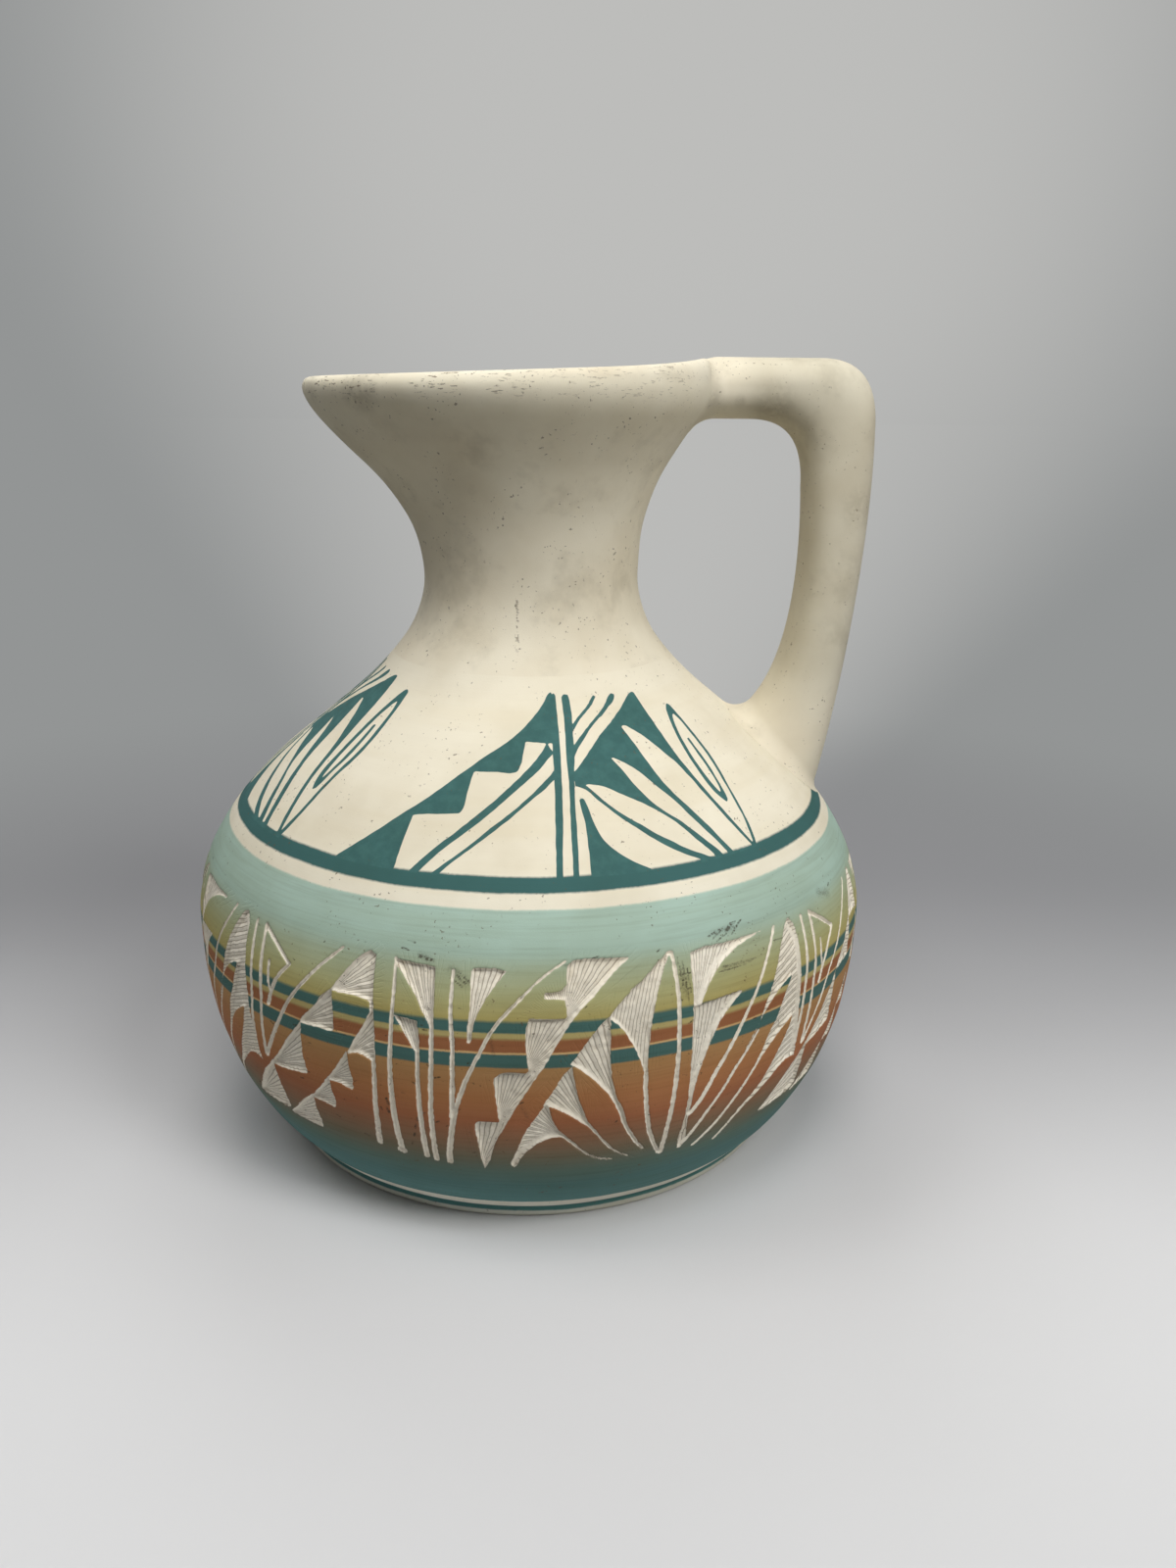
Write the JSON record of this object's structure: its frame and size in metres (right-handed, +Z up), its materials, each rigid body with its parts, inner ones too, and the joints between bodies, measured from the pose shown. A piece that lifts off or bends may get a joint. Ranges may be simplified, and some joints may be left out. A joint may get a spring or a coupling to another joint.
{
  "type": "pitcher vase",
  "caption": "Round-bellied clay pitcher vase with a narrow neck, flared mouth, pulled spout and thick strap handle, painted and carved with feather and step motifs.",
  "frame": {"origin": "centre of the flat base, on the axis of the body, where the pitcher stands", "axes": "+Z up along the body's axis, +X towards the handle, -X towards the spout"},
  "size_m": [0.2, 0.1998, 0.2244],
  "materials": {
    "banded_clay": "matte",
    "cream_clay": "matte",
    "slip_clay": "matte"
  },
  "bodies": {
    "root": {"vessel_body": "banded_clay", "neck_luting_ring": "slip_clay", "neck_and_spout": "cream_clay", "strap_handle": "cream_clay", "handle_top_luting": "slip_clay", "handle_foot_luting": "slip_clay"}
  },
  "joints": []
}
